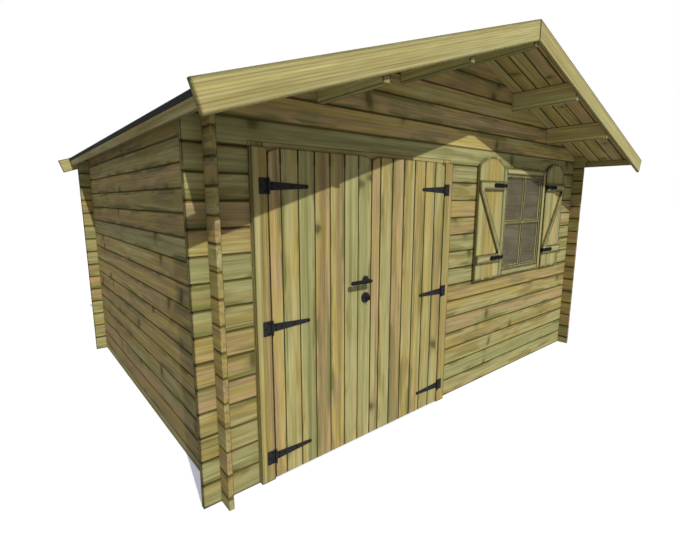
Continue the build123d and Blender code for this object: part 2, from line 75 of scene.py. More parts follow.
LOG_TIP = 0.008                 # last part of a log, whose edges are shaded
SAWN_END = 0.001                # what counts as its sawn end
LEAF_TOP = 0.075                # top part of a door leaf, whose edges are shaded
FAR = 9.0                       # farther out than any piece
WHOLE = 10.0                    # a board so wide that it leaves a piece undivided
APART = 0.3                     # a board width that gives each ledge or bearer a tone of its own
BLUE_GLOW = 1.35                # blue in the floor's glow, to the red and green in it


def low(node):
    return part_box(node)[0]


def high(node):
    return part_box(node)[1]


# -------------------- properties
def colour_property(name, words, value):
    return bpy.props.FloatVectorProperty(
        name=name, description=words, default=(*value, 1.0), size=4, min=0.0, max=1.0, subtype="COLOR")


def length_property(name, words, value):
    return bpy.props.FloatProperty(
        name=name, description=words, default=value, min=0.0, unit="LENGTH")


def amount_property(name, words, value, most=1.0):
    return bpy.props.FloatProperty(name=name, description=words, default=value, min=0.0, max=most)


def angle_property(name, words, degrees):
    return bpy.props.FloatProperty(
        name=name, description=words, default=math.radians(degrees), subtype="ANGLE")


def place_property(name, words, value, **kind):
    return bpy.props.FloatVectorProperty(name=name, description=words, default=value, size=3, **kind)


class ShedTimber(bpy.types.PropertyGroup):
    """Colours and sizes of the treated pine."""
    straw: colour_property("Straw", "Main colour of the treated pine", (0.475, 0.410, 0.165))
    green: colour_property("Green", "Greener boards", (0.385, 0.390, 0.165))
    pale: colour_property("Pale", "Palest boards", (0.485, 0.460, 0.215))
    gold: colour_property("Gold", "Golden boards", (0.495, 0.395, 0.120))
    tan: colour_property("Tan", "Warmer boards", (0.500, 0.370, 0.180))
    blush: colour_property("Blush", "Pinkish boards", (0.500, 0.375, 0.190))
    stain: colour_property("Stain", "Green stain of the preservative", (0.185, 0.200, 0.060))
    knot: colour_property("Knot", "Heart of a knot", (0.125, 0.090, 0.034))
    joint: colour_property("Joint", "Shade in the joints between boards", (0.048, 0.032, 0.007))
    outline: colour_property("Outline", "Shade along the edges of a piece", (0.012, 0.010, 0.003))
    brown: colour_property("Brown", "Tint of the wood beside joints and along resin", (0.70, 0.63, 0.42))
    late_wood: colour_property("Late wood", "Tint of the fine dark lines", (0.66, 0.60, 0.48))
    flute: colour_property("Flute", "Tint of the grooves of the barge boards", (0.58, 0.52, 0.40))
    # darker end grain, which also serves as painted shade on the sawn log ends
    end_grain_and_shade: colour_property("End grain", "Tint of the sawn ends of the logs", (0.60, 0.57, 0.52))
    log_height: length_property("Log height", "Height of one log", 0.130)
    roof_board: length_property("Roof board", "Width of a roof board", 0.105)
    door_board: length_property("Door board", "Width of a door board", 0.107)
    floor_board: length_property("Floor board", "Width of a floor board", 0.120)
    log_joint: length_property("Log joint", "Half the width of the shaded joint between logs", 0.0068)
    board_joint: length_property("Board joint", "Half the width of the shaded joint between boards", 0.0034)
    knot_size: length_property("Knot size", "Radius of a knot in the thinner timber", 0.030)
    large_knot: length_property("Large knot", "Radius of a knot in the logs and the door", 0.045)
    flute_pitch: length_property("Flute pitch", "Distance between the grooves of the barge boards", 0.0125)
    edge_shade: amount_property("Edge shade", "Strength of the shade along an edge", 0.96)
    corner_width: length_property("Corner width", "Reach of the shade in an inside corner", 0.012)
    corner_shade: amount_property("Corner shade", "Strength of the shade in an inside corner", 0.80)


class ShedFinish(bpy.types.PropertyGroup):
    """Colours of the felt, the ironwork and the glass, and sizes of the fixings."""
    felt: colour_property("Felt", "Mineral felt on the roof", (0.022, 0.027, 0.025))
    felt_fleck: colour_property("Felt fleck", "Lighter grains in the felt", (0.11, 0.125, 0.115))
    iron: colour_property("Iron", "Black ironwork", (0.012, 0.0125, 0.018))
    iron_wear: colour_property("Iron wear", "Ironwork where it is rubbed", (0.030, 0.030, 0.034))
    iron_dust: colour_property("Iron dust", "Dust on the ironwork", (0.028, 0.028, 0.030))
    dark_iron: colour_property("Dark iron", "Matt iron of the shutters and the screws", (0.003, 0.003, 0.003))
    glass: colour_property("Glass", "Tint of the window glass", (0.46, 0.43, 0.30))
    glass_dust: colour_property("Glass dust", "Film on the window glass", (0.56, 0.50, 0.37))
    glass_film: amount_property("Glass film", "How much of the view the film hides", 0.14)
    zinc: colour_property("Zinc", "Galvanised nails in the felt", (0.30, 0.30, 0.31))
    zinc_dust: colour_property("Zinc dust", "Dust on the nails", (0.12, 0.11, 0.10))
    hinge_heights: place_property("Hinge heights", "Middles of the door hinges above the ground",
                                  (0.144, 0.892, 1.633), unit="LENGTH")
    screw_size: length_property("Screw size", "Diameter of a screw head", 0.0105)
    screw_depth: length_property("Screw depth", "How far a screw head stands out", 0.0022)
    bead: length_property("Glazing bead", "Width of the bead round a pane", 0.007)
    lap_width: length_property("Lap width", "Width of the strip where two lengths of felt meet", 0.075)
    lap_thickness: length_property("Lap thickness", "Thickness of a felt lap", 0.003)
    nail_size: length_property("Nail size", "Diameter of a felt nail's head", 0.009)
    nail_depth: length_property("Nail depth", "Thickness of a felt nail's head", 0.0012)
    nail_pitch: length_property("Nail pitch", "Distance between felt nails", 0.10)


class ShedStage(bpy.types.PropertyGroup):
    """Camera, light and floor."""
    floor: colour_property("Floor", "Colour of the plain floor", (0.98, 1.0, 1.0))
    bounce: colour_property("Bounce", "Floor's colour for the light it throws back", (0.43, 0.435, 0.48))
    glow: amount_property("Floor glow", "Extra light that the floor shows, to read as white", 0.26)
    sun: amount_property("Sun", "Strength of the key light", 2.66, 20.0)
    sun_colour: colour_property("Sun colour", "Colour of the key light", (1.0, 0.965, 0.89))
    sun_way: place_property("Sun way", "Direction in which the key light falls", (0.19, 1.0, -0.947),
                            subtype="XYZ")
    sun_spread: angle_property("Sun spread", "Softness of the key light's shadows", 0.8)
    sky: amount_property("Sky", "Strength of the soft light from all round", 0.298, 20.0)
    sky_colour: colour_property("Sky colour", "Colour of the soft light", (1.0, 0.975, 0.94))
    room: amount_property("Room light", "Power of the weak light inside the shed", 12.0, 200.0)
    room_size: length_property("Room light size", "Width of the light inside the shed", 1.6)
    room_place: place_property("Room light place", "Where the light inside the shed hangs",
                               (0.0, 0.2, 1.95), subtype="TRANSLATION")
    lens: bpy.props.FloatProperty(name="Lens", description="Focal length of the camera", default=21.873,
                                  min=1.0, unit="CAMERA")
    eye: place_property("Eye", "Where the camera stands", (-2.739, -3.215, 1.564), subtype="TRANSLATION")
    turn: angle_property("Turn", "Camera's turn from the ridge line towards the right", 39.25)
    tilt: angle_property("Tilt", "Camera's tilt below the horizon", 9.906)


# -------------------- node helpers
class Steps:
    """Adds nodes to a tree one after another and joins them."""

    def __init__(self, tree):
        self.tree = tree

    def feed(self, socket, value):
        if isinstance(value, bpy.types.NodeSocket):
            self.tree.links.new(value, socket)
        else:
            socket.default_value = value

    def set(self, node, inputs):
        for key, value in inputs.items():
            self.feed(node.inputs[key], value)

    def node(self, kind, inputs=None, **settings):
        made = self.tree.nodes.new(kind)
        for key, value in settings.items():
            setattr(made, key, value)
        self.set(made, inputs or {})
        return made

    def place(self):
        """Where a point lies on its piece, in metres."""
        return self.node("ShaderNodeTexCoord").outputs["Object"]

    def math(self, operation, *values, clamp=False):
        made = self.node("ShaderNodeMath", dict(enumerate(values)), operation=operation, use_clamp=clamp)
        return made.outputs[0]

    def times(self, a, b, clamp=False):
        return self.math("MULTIPLY", a, b, clamp=clamp)

    def plus(self, a, b):
        return self.math("ADD", a, b)

    def minus(self, a, b):
        return self.math("SUBTRACT", a, b)

    def over(self, a, b):
        return self.math("DIVIDE", a, b)

    def off(self, value):
        """How far a value is from zero."""
        return self.math("ABSOLUTE", value)

    def above(self, value, limit):
        return self.math("GREATER_THAN", value, limit)

    def below(self, value, limit):
        return self.math("LESS_THAN", value, limit)

    def vector(self, operation, *values):
        made = self.node("ShaderNodeVectorMath", dict(enumerate(values)), operation=operation)
        return made.outputs["Value" if operation in ("LENGTH", "DOT_PRODUCT") else "Vector"]

    def combine(self, x, y, z):
        return self.node("ShaderNodeCombineXYZ", {0: x, 1: y, 2: z}).outputs[0]

    def separate(self, vector):
        return self.node("ShaderNodeSeparateXYZ", {0: vector}).outputs

    def part(self, vector, axis):
        return self.separate(vector)["XYZ".index(axis)]

    def scaled(self, vector, x, y, z):
        return self.vector("MULTIPLY", vector, (x, y, z))

    def turned(self, vector, angle):
        """The vector turned about the Y axis."""
        return self.node("ShaderNodeMapping", {"Vector": vector, "Rotation": (0.0, angle, 0.0)}).outputs[0]

    def noise(self, vector, scale=1.0, detail=2.0, roughness=0.5, distortion=0.0):
        made = self.node("ShaderNodeTexNoise", {"Vector": vector, "Scale": scale, "Detail": detail,
                                                "Roughness": roughness, "Distortion": distortion})
        return made.outputs["Fac"]

    def between(self, value, start, end, to_start=0.0, to_end=1.0):
        """Smooth step of value from start to end."""
        made = self.node("ShaderNodeMapRange", {"Value": value, "From Min": start, "From Max": end,
                                                "To Min": to_start, "To Max": to_end},
                         interpolation_type="SMOOTHSTEP")
        return made.outputs["Result"]

    def mix(self, factor, a, b, blend="MIX"):
        made = self.node("ShaderNodeMix", {0: factor, 6: a, 7: b}, data_type="RGBA", blend_type=blend)
        return made.outputs[2]

    def tint(self, colour, by):
        """A colour multiplied by another one."""
        return self.mix(1.0, colour, by, "MULTIPLY")

    def shade(self, colour, value):
        """A colour made darker or paler by a value that changes over the surface."""
        return self.tint(colour, self.combine(value, value, value))

    def ramp(self, factor, stops):
        made = self.node("ShaderNodeValToRGB", {"Fac": factor})
        elements = made.color_ramp.elements
        while len(elements) < len(stops):
            elements.new(0.5)
        for element, (place, colour) in zip(elements, stops):
            element.position = place
            element.color = colour
        return made.outputs["Color"]

    def bump(self, height, strength, distance):
        return self.node("ShaderNodeBump", {"Strength": strength, "Distance": distance,
                                            "Height": height}).outputs[0]


SOCKET_KINDS = {"Vector": "Vector", "Turn": "Vector", "Color": "Color", "Geometry": "Geometry",
                "Material": "Material"}


def add_socket(tree, way, title):
    """A group's socket, which carries a number unless its name is in SOCKET_KINDS."""
    return tree.interface.new_socket(title, in_out=way,
                                     socket_type="NodeSocket" + SOCKET_KINDS.get(title, "Float"))


def new_group(name, inputs, outputs):
    """An empty shader group that reads a vector and numbers with their defaults."""
    tree = bpy.data.node_groups.new(name, "ShaderNodeTree")
    add_socket(tree, "INPUT", "Vector")
    for title, default in inputs.items():
        add_socket(tree, "INPUT", title).default_value = default
    for title in outputs:
        add_socket(tree, "OUTPUT", title)
    steps = Steps(tree)
    given = steps.node("NodeGroupInput").outputs
    result = steps.node("NodeGroupOutput").inputs
    return steps, given, result


def use_group(steps, name, inputs):
    return steps.node("ShaderNodeGroup", inputs, node_tree=bpy.data.node_groups[name]).outputs


def new_material(name):
    """A material with a Principled shader, and the steps to build on it."""
    material = bpy.data.materials.new(name)
    material.use_nodes = True
    tree = material.node_tree
    tree.nodes.clear()
    steps = Steps(tree)
    shader = steps.node("ShaderNodeBsdfPrincipled")
    steps.node("ShaderNodeOutputMaterial", {"Surface": shader.outputs[0]})
    return material, steps, shader


def dress(material, *nodes):
    """Gives CAD nodes their finish."""
    for name in nodes:
        slots = NODES[name].data.materials
        slots.clear()
        slots.append(material)


def put(name, data):
    """A new object in the scene."""
    made = bpy.data.objects.new(name, data)
    bpy.context.scene.collection.objects.link(made)
    return made


def aim(thing, way):
    """Turns a lamp or the camera to look one way."""
    thing.rotation_mode = "QUATERNION"
    thing.rotation_quaternion = Vector(way).to_track_quat("-Z", "Y")


# -------------------- geometry nodes
def new_tree(name, *inputs):
    """A Geometry Nodes tree with its named inputs, and the steps to build on it."""
    tree = bpy.data.node_groups.new(name, "GeometryNodeTree")
    for title in ("Geometry", *inputs, "Material"):
        add_socket(tree, "INPUT", title)
    add_socket(tree, "OUTPUT", "Geometry")
    steps = Steps(tree)
    return steps, steps.node("NodeGroupInput").outputs


def end_tree(steps, given, shape, turn):
    """Puts the shape on every point, turned, makes the copies real and gives them the material."""
    turned = steps.node("FunctionNodeEulerToRotation", {"Euler": turn})
    many = steps.node("GeometryNodeInstanceOnPoints", {"Points": given["Geometry"], "Instance": shape,
                                                       "Rotation": turned.outputs[0]})
    real = steps.node("GeometryNodeRealizeInstances", {"Geometry": many.outputs[0]})
    painted = steps.node("GeometryNodeSetMaterial", {"Geometry": real.outputs[0],
                                                     "Material": given["Material"]})
    steps.node("NodeGroupOutput", {0: painted.outputs[0]})


def grow(name, tree, places, body, values):
    """Runs a tree on points and keeps the result as a plain mesh that rides on a body."""
    mesh = bpy.data.meshes.new(name + "_places")
    mesh.from_pydata(places, [], [])
    points = put(name + "_places", mesh)
    modifier = points.modifiers.new("Shape", "NODES")
    modifier.node_group = bpy.data.node_groups[tree]
    sockets = {item.name: item.identifier for item in modifier.node_group.interface.items_tree
               if item.in_out == "INPUT"}
    for key, value in values.items():
        modifier[sockets[key]] = value
    ready = points.evaluated_get(bpy.context.evaluated_depsgraph_get())
    made = put(name, bpy.data.meshes.new_from_object(ready))
    bpy.data.objects.remove(points)
    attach(made, body)


def make_screw_tree():
    """A countersunk head with a square recess on every point."""
    steps, given = new_tree("Screw heads", "Size", "Depth", "Turn")
    half = steps.times(given["Size"], 0.5)
    head = steps.node("GeometryNodeMeshCone", {"Vertices": 12, "Radius Top": steps.times(half, 0.72),
                                               "Radius Bottom": half, "Depth": given["Depth"]})
    up = steps.part(steps.node("GeometryNodeInputNormal").outputs[0], "Z")
    inset = steps.node("GeometryNodeExtrudeMesh", {"Mesh": head.outputs["Mesh"], "Offset Scale": 0.0,
                                                   "Selection": steps.above(up, 0.9)})
    smaller = steps.node("GeometryNodeScaleElements", {"Geometry": inset.outputs["Mesh"], "Scale": 0.45,
                                                       "Selection": inset.outputs["Top"]})
    recess = steps.node("GeometryNodeExtrudeMesh", {
        "Mesh": smaller.outputs[0], "Selection": inset.outputs["Top"],
        "Offset Scale": steps.times(given["Depth"], -0.45)})
    end_tree(steps, given, recess.outputs["Mesh"], given["Turn"])


def make_bead_tree():
    """A mitred bead round a rectangular pane on every point."""
    steps, given = new_tree("Glazing beads", "Width", "Height", "Bead")
    ring = steps.node("GeometryNodeCurvePrimitiveQuadrilateral", {
        "Width": steps.minus(given["Width"], given["Bead"]),
        "Height": steps.minus(given["Height"], given["Bead"])})
    section = steps.node("GeometryNodeCurvePrimitiveCircle", {
        "Resolution": 8, "Radius": steps.times(given["Bead"], 0.70)})
    bead = steps.node("GeometryNodeCurveToMesh", {"Curve": ring.outputs[0], "Fill Caps": True,
                                                  "Profile Curve": section.outputs[0]})
    end_tree(steps, given, bead.outputs[0], (math.radians(90.0), 0.0, 0.0))


def make_lap_tree():
    """A strip of felt on every point, lying along Y and tipped to the roof's slope."""
    steps, given = new_tree("Felt laps", "Length", "Width", "Thickness", "Turn")
    strip = steps.node("GeometryNodeMeshCube", {
        "Size": steps.combine(given["Width"], given["Length"], given["Thickness"])})
    end_tree(steps, given, strip.outputs[0], given["Turn"])


# -------------------- shader groups
def make_board_layout():
    """Splits a panel into boards: X along them, Y across, Z through."""
    steps, given, result = new_group(
        "Board layout", {"Board width": 0.1, "First joint": 0.0, "Seed": 0.0},
        ("Vector", "Board", "Joint distance"))
    along, across, through = steps.separate(given["Vector"])
    place = steps.over(steps.minus(across, given["First joint"]), given["Board width"])
    index = steps.math("FLOOR", place)
    part = steps.minus(place, index)
    chance = steps.node("ShaderNodeTexWhiteNoise", {"Vector": steps.combine(index, given["Seed"], 0.5)},
                        noise_dimensions="3D")
    shift = steps.scaled(chance.outputs["Color"], 17.0, 13.0, 11.0)
    inside = steps.combine(along, steps.times(part, given["Board width"]), through)
    steps.feed(result["Vector"], steps.vector("ADD", inside, shift))
    steps.feed(result["Board"], chance.outputs["Value"])
    edge = steps.math("MINIMUM", part, steps.minus(1.0, part))
    steps.feed(result["Joint distance"], steps.times(edge, given["Board width"]))


def make_knots():
    """Knots scattered along a board, most of them cut lengthwise, and how the grain bends round them."""
    steps, given, result = new_group("Knots", {"Radius": 0.017, "Amount": 0.4}, ("Core", "Halo", "Bend"))
    per_length, per_width = 1.7, 7.5
    flat = steps.scaled(given["Vector"], per_length, per_width, 0.0)
    cells = steps.node("ShaderNodeTexVoronoi", {"Vector": flat, "Scale": 1.0, "Randomness": 0.8},
                       voronoi_dimensions="2D")
    offset = steps.vector("SUBTRACT", flat, cells.outputs["Position"])
    dx, dy, _ = steps.separate(steps.scaled(offset, 1.0 / per_length, 1.0 / per_width, 0.0))
    chance = steps.separate(cells.outputs["Color"])
    there = steps.below(chance[0], given["Amount"])
    radius = steps.times(given["Radius"], steps.between(chance[1], 0.0, 1.0, 0.45, 1.0))
    wobble = steps.times(steps.minus(steps.noise(given["Vector"], 45.0, 2.0), 0.5), 0.016)
    # a spike knot lies across the board, a round one looks straight out of it
    spike = steps.above(chance[2], 0.35)
    slant = steps.times(steps.minus(chance[1], 0.5), spike)
    leaned = steps.math("MULTIPLY_ADD", dy, slant, dx)
    squat = steps.math("MULTIPLY_ADD", spike, -0.50, 1.0)
    across = steps.times(dy, squat)
    distance = steps.plus(wobble, steps.vector("LENGTH", steps.combine(leaned, across, 0.0)))
    share = steps.over(distance, radius)
    steps.feed(result["Core"], steps.times(steps.between(share, 1.05, 0.30), there))
    # dark wood runs out of a knot in two slanting flares
    spread = steps.off(steps.minus(steps.off(dy), steps.times(steps.off(dx), 0.55)))
    flare = steps.times(steps.between(steps.over(spread, radius), 0.75, 0.0), steps.between(share, 3.2, 0.8))
    halo = steps.math("MAXIMUM", steps.between(share, 2.3, 0.5), steps.times(flare, 0.7))
    steps.feed(result["Halo"], steps.times(halo, there))
    reach = steps.combine(steps.times(dx, 8.0), steps.times(dy, 22.0), 0.0)
    fall = steps.between(steps.vector("LENGTH", reach), 1.0, 0.0)
    push = steps.times(steps.times(dy, fall), -0.7)
    steps.feed(result["Bend"], steps.times(push, there))


def make_pine(timber):
    """Colour, roughness and height of pressure treated pine, lengthwise along X."""
    steps, given, result = new_group(
        "Treated pine",
        {"Board": 0.5, "Joint distance": 1.0, "Joint width": 0.004, "Knots": 0.4, "Knot size": 0.017,
         "Bands": 1.0, "Stain": 1.0, "Ribs": 0.4, "Spread": 0.75, "Joint shade": 0.94, "Flutes": 0.0,
         "Clouds": 0.7, "Fineness": 1.0, "Seam": 0.0},
        ("Color", "Roughness", "Height"))
    knots = use_group(steps, "Knots", {"Vector": given["Vector"], "Radius": given["Knot size"],
                                       "Amount": given["Knots"]})
    along, across, through = steps.separate(given["Vector"])
    bent = steps.combine(along, steps.plus(across, knots["Bend"]), through)

    # bands and lines that run with the grain, and clouds that drift over them
    wide = steps.vector("MULTIPLY", bent, steps.combine(1.0, given["Fineness"], given["Fineness"]))
    band = steps.noise(steps.scaled(wide, 0.28, 15.0, 15.0), 1.0, 2.0, 0.5, 0.25)
    strip = steps.noise(steps.scaled(wide, 0.35, 46.0, 46.0), 1.0, 2.0, 0.5, 0.2)
    flame = steps.noise(steps.scaled(bent, 1.3, 15.0, 15.0), 1.0, 3.0, 0.6, 1.1)
    cloud = steps.noise(steps.scaled(bent, 2.1, 7.0, 7.0), 1.0, 2.0, 0.55)
    line = steps.noise(steps.scaled(bent, 0.7, 90.0, 90.0), 1.0, 2.0, 0.6, 0.1)
    fibre = steps.noise(steps.scaled(bent, 4.0, 190.0, 190.0), 1.0, 2.0, 0.6)

    # each board has its own tone, and drifts from it in bands
    drift = steps.times(steps.minus(band, 0.5), given["Bands"])
    own = steps.math("MULTIPLY_ADD", steps.minus(given["Board"], 0.5), given["Spread"], 0.5)
    tone = steps.math("MULTIPLY_ADD", drift, 2.6, own)
    wisps = steps.plus(steps.minus(cloud, 0.5), steps.times(steps.minus(flame, 0.5), 0.9))
    tone = steps.math("MULTIPLY_ADD", wisps, given["Clouds"], tone, clamp=True)
    colour = steps.ramp(tone, [(0.0, timber.green), (0.22, timber.pale), (0.42, timber.straw),
                               (0.54, timber.gold), (0.66, timber.tan), (0.84, timber.blush),
                               (1.0, timber.pale)])
    value = steps.between(strip, 0.28, 0.72, 1.13, 0.83)
    value = steps.times(value, steps.between(flame, 0.25, 0.75, 1.06, 0.90))
    colour = steps.shade(colour, value)

    # green stain, strongest towards the edges of a board, and golden brown heartwood
    rim = steps.between(given["Joint distance"], 0.040, 0.004, 0.25, 1.0)
    green = steps.times(steps.between(flame, 0.44, 0.60), steps.between(cloud, 0.43, 0.56))
    green = steps.times(steps.times(green, rim), given["Stain"], clamp=True)
    colour = steps.mix(steps.times(green, 0.80), colour, timber.stain)
    brown = steps.times(steps.between(strip, 0.55, 0.72), steps.between(cloud, 0.60, 0.42))
    brown = steps.times(brown, given["Bands"], clamp=True)
    colour = steps.mix(steps.times(brown, 0.85), colour, steps.tint(colour, timber.brown))

    # fine lines of late wood
    rib = steps.times(steps.between(line, 0.44, 0.62), given["Ribs"])
    colour = steps.mix(rib, colour, steps.tint(colour, timber.late_wood))
    colour = steps.shade(colour, steps.between(fibre, 0.28, 0.72, 0.84, 1.14))

    # flutes planed along a board
    turns = steps.math("FRACT", steps.over(across, timber.flute_pitch))
    groove = steps.between(steps.off(steps.minus(turns, 0.5)), 0.24, 0.46)
    groove = steps.times(groove, given["Flutes"])
    colour = steps.mix(groove, colour, steps.tint(colour, timber.flute))

    # knots, and the shade in the joints and along the edges
    colour = steps.mix(steps.times(knots["Halo"], 0.50), colour, timber.stain)
    colour = steps.mix(steps.times(knots["Core"], 0.80), colour, timber.knot)
    joint = steps.between(steps.over(given["Joint distance"], given["Joint width"]), 1.7, 0.35)
    colour = steps.mix(joint, colour, steps.tint(colour, timber.brown))
    colour = steps.mix(steps.times(joint, given["Joint shade"]), colour, timber.joint)
    colour = steps.mix(given["Seam"], colour, timber.outline)
    steps.feed(result["Color"], colour)
    steps.feed(result["Roughness"], steps.between(line, 0.2, 0.8, 0.70, 0.90))
    height = steps.plus(steps.times(line, 0.65), steps.times(fibre, 0.35))
    steps.feed(result["Height"], steps.minus(height, steps.times(groove, 0.5)))


def make_grit():
    """Fine mineral grains: a mask of light grains and their height."""
    steps, given, result = new_group("Mineral grit", {"Grain": 700.0}, ("Fleck", "Height"))
    cells = steps.node("ShaderNodeTexVoronoi", {"Vector": given["Vector"], "Scale": given["Grain"]})
    chance = steps.separate(cells.outputs["Color"])[0]
    steps.feed(result["Fleck"], steps.between(chance, 0.70, 0.95))
    steps.feed(result["Height"], steps.minus(1.0, cells.outputs["Distance"]))


def make_wear():
    """Worn places and dust, as masks for painted metal."""
    steps, given, result = new_group("Wear and dust", {"Scale": 40.0}, ("Wear", "Dust"))
    rub = steps.noise(given["Vector"], given["Scale"], 4.0, 0.65)
    dust = steps.noise(given["Vector"], steps.times(given["Scale"], 0.3), 3.0, 0.6)
    rim = steps.between(steps.node("ShaderNodeNewGeometry").outputs["Pointiness"], 0.52, 0.62)
    worn = steps.math("MAXIMUM", steps.times(rim, 0.8), steps.between(rub, 0.62, 0.78))
    steps.feed(result["Wear"], worn)
    steps.feed(result["Dust"], steps.between(dust, 0.45, 0.75))


# -------------------- materials
def timber_material(name, grain, across, board=WHOLE, first=-WHOLE / 2, seed=0.0, turn=0.0, joint=None,
                    joint_shade=0.94, knots=0.35, knot_size=None, bands=1.0, stain=1.0, ribs=0.35,
                    clouds=0.6, spread=0.75, tone=None, flutes=0.0, fineness=1.0, edge=0.0045, zone=None,
                    calm=None, nook=1.0, ends=None, lift=1.0, flank=1.0, brace=None):
    """Treated pine whose grain runs along one axis, in boards laid side by side across another.

    turn tips the boards about the Y axis, for those that follow the roof, and brace is (foot, head, turn)
    for timber that leans between two heights.
    tone is the place of an undivided piece between green (0) and blush (0.84); without it each board has
    its own.
    edge is the reach of the shade along edges, and zone (axis, near, far) the distance from the middle in
    which it is laid on.
    calm is (axis, middle, distance) of shallow grooves that stay unshaded, nook scales the shade of inside
    corners, and ends is (axis, distance) beyond which the wood is end grain, tinted darker as end grain and
    as painted shade.
    lift makes a piece paler or darker than the rest, and side light paints the faces that look left or right
    paler: painted light."""
    timber = bpy.context.scene.shed_timber
    material, steps, shader = new_material(name)
    place = steps.place()
    if turn:
        place = steps.turned(place, turn)
    if brace:
        foot, head, lean = brace
        leaning = steps.turned(place, lean)
        level = steps.part(place, "Z")
        inside = steps.times(steps.above(level, foot), steps.below(level, head))
        place = steps.node("ShaderNodeMix", {0: inside, 4: place, 5: leaning}, data_type="VECTOR").outputs[1]
    axes = steps.separate(place)
    order = ["XYZ".index(grain), "XYZ".index(across)]
    order.append(3 - sum(order))
    layout = use_group(steps, "Board layout", {"Vector": steps.combine(*[axes[i] for i in order]),
                                               "Board width": board, "First joint": first, "Seed": seed})
    pine = use_group(steps, "Treated pine", {
        "Vector": layout["Vector"], "Board": layout["Board"] if tone is None else tone,
        "Joint distance": layout["Joint distance"], "Joint width": joint or timber.board_joint,
        "Joint shade": joint_shade, "Knots": knots, "Knot size": knot_size or timber.knot_size,
        "Bands": bands, "Stain": stain, "Ribs": ribs, "Clouds": clouds,
        "Spread": spread if tone is None else 1.0, "Flutes": flutes, "Fineness": fineness,
        "Seam": seam_mask(steps, timber, edge, zone, calm, timber.corner_shade * nook)})
    colour = steps.tint(pine["Color"], (lift, lift, lift, 1.0))
    # the log ends are tinted darker, as end grain and as painted shade
    if ends:
        axis, reach = ends
        out = steps.off(steps.part(place, axis))
        colour = steps.mix(steps.above(out, reach), colour, steps.tint(colour, timber.end_grain_and_shade))
    # painted light: faces that look left or right are made paler by the side light factor
    if flank != 1.0:
        sideways = steps.off(steps.part(steps.node("ShaderNodeNewGeometry").outputs["True Normal"], "X"))
        side_lit = steps.tint(colour, (flank, flank, flank, 1.0))
        colour = steps.mix(steps.above(sideways, 0.5), colour, side_lit)
    steps.set(shader, {"Base Color": colour, "Roughness": pine["Roughness"], "Specular IOR Level": 0.25,
                       "Normal": steps.bump(pine["Height"], 0.35, 0.0015)})
    return material


def lay(name, grain, across, *nodes, **look):
    """Dresses CAD nodes in timber, or the one that the timber is named for."""
    dress(timber_material(name, grain, across, **look), *(nodes or (name,)))


def seam_mask(steps, timber, width, zone, calm, shade):
    """Shade along the edges of a piece and where it meets its neighbours."""
    corner = steps.node("ShaderNodeAmbientOcclusion", {"Distance": timber.corner_width}, samples=4)
    nook = steps.times(steps.between(corner.outputs["AO"], 0.80, 0.45), shade)
    if not width:
        return nook
    rounded = steps.node("ShaderNodeBevel", {"Radius": width}, samples=4).outputs[0]
    flat = steps.node("ShaderNodeNewGeometry").outputs["Normal"]
    same = steps.vector("DOT_PRODUCT", rounded, flat)
    edge = steps.times(timber.edge_shade, steps.between(same, 0.9995, 0.985))
    if zone:
        axis, near, far = zone
        out = steps.off(steps.part(steps.place(), axis))
        edge = steps.times(edge, steps.times(steps.above(out, near), steps.below(out, far)))
    seam = steps.math("MAXIMUM", edge, nook)
    if calm:
        axis, middle, distance = calm
        out = steps.off(steps.minus(steps.part(steps.place(), axis), middle))
        seam = steps.times(seam, steps.between(steps.off(steps.minus(out, distance)), 0.008, 0.014))
    return seam


def iron_material(finish):
    """Black painted iron, satin, with rubbed edges."""
    material, steps, shader = new_material("black_iron")
    place = steps.place()
    masks = use_group(steps, "Wear and dust", {"Vector": place, "Scale": 45.0})
    colour = steps.mix(masks["Wear"], finish.iron, finish.iron_wear)
    steps.set(shader, {
        "Base Color": steps.mix(steps.times(masks["Dust"], 0.20), colour, finish.iron_dust),
        "Roughness": steps.between(masks["Dust"], 0.0, 1.0, 0.50, 0.65),
        "Specular IOR Level": 0.22,
        "Normal": steps.bump(steps.noise(place, 900.0, 2.0), 0.25, 0.0004)})
    return material


def dark_iron_material(finish, name):
    """Matt black iron, for the shutter hinges and the screws, which are darker than the plates."""
    material, steps, shader = new_material(name)
    masks = use_group(steps, "Wear and dust", {"Vector": steps.place(), "Scale": 90.0})
    steps.set(shader, {
        "Base Color": steps.mix(steps.times(masks["Wear"], 0.35), finish.dark_iron, finish.iron_wear),
        "Roughness": steps.between(masks["Dust"], 0.0, 1.0, 0.55, 0.75),
        "Specular IOR Level": 0.10})
    return material


def felt_material(finish):
    """Mineral felt, in places darker and in places paler."""
    material, steps, shader = new_material("roofing_felt")
    place = steps.place()
    grit = use_group(steps, "Mineral grit", {"Vector": place, "Grain": 620.0})
    patch = steps.noise(place, 1.7, 4.0, 0.6)
    colour = steps.mix(steps.times(grit["Fleck"], 0.55), finish.felt, finish.felt_fleck)
    steps.set(shader, {
        "Base Color": steps.shade(colour, steps.between(patch, 0.25, 0.8, 0.75, 1.25)),
        "Roughness": 0.93,
        "Normal": steps.bump(grit["Height"], 0.5, 0.001)})
    return material


def clout_material(finish):
    """Galvanised clout nails."""
    material, steps, shader = new_material("clout_nails")
    masks = use_group(steps, "Wear and dust", {"Vector": steps.place(), "Scale": 60.0})
    steps.set(shader, {
        "Base Color": steps.mix(masks["Dust"], finish.zinc, finish.zinc_dust),
        "Roughness": steps.between(masks["Wear"], 0.0, 1.0, 0.55, 0.40),
        "Metallic": 0.8})
    return material


def glass_material(finish):
    """Thin panes with a film of dust on them."""
    material, steps, shader = new_material("window_glass")
    film = steps.noise(steps.scaled(steps.place(), 3.0, 3.0, 9.0), 1.0, 3.0, 0.6)
    steps.set(shader, {
        "Base Color": steps.mix(steps.between(film, 0.3, 0.7), finish.glass, finish.glass_dust),
        "Alpha": steps.between(film, 0.25, 0.75, finish.glass_film - 0.03, finish.glass_film + 0.03),
        "Roughness": 0.04,
        "IOR": 1.5})
    return material


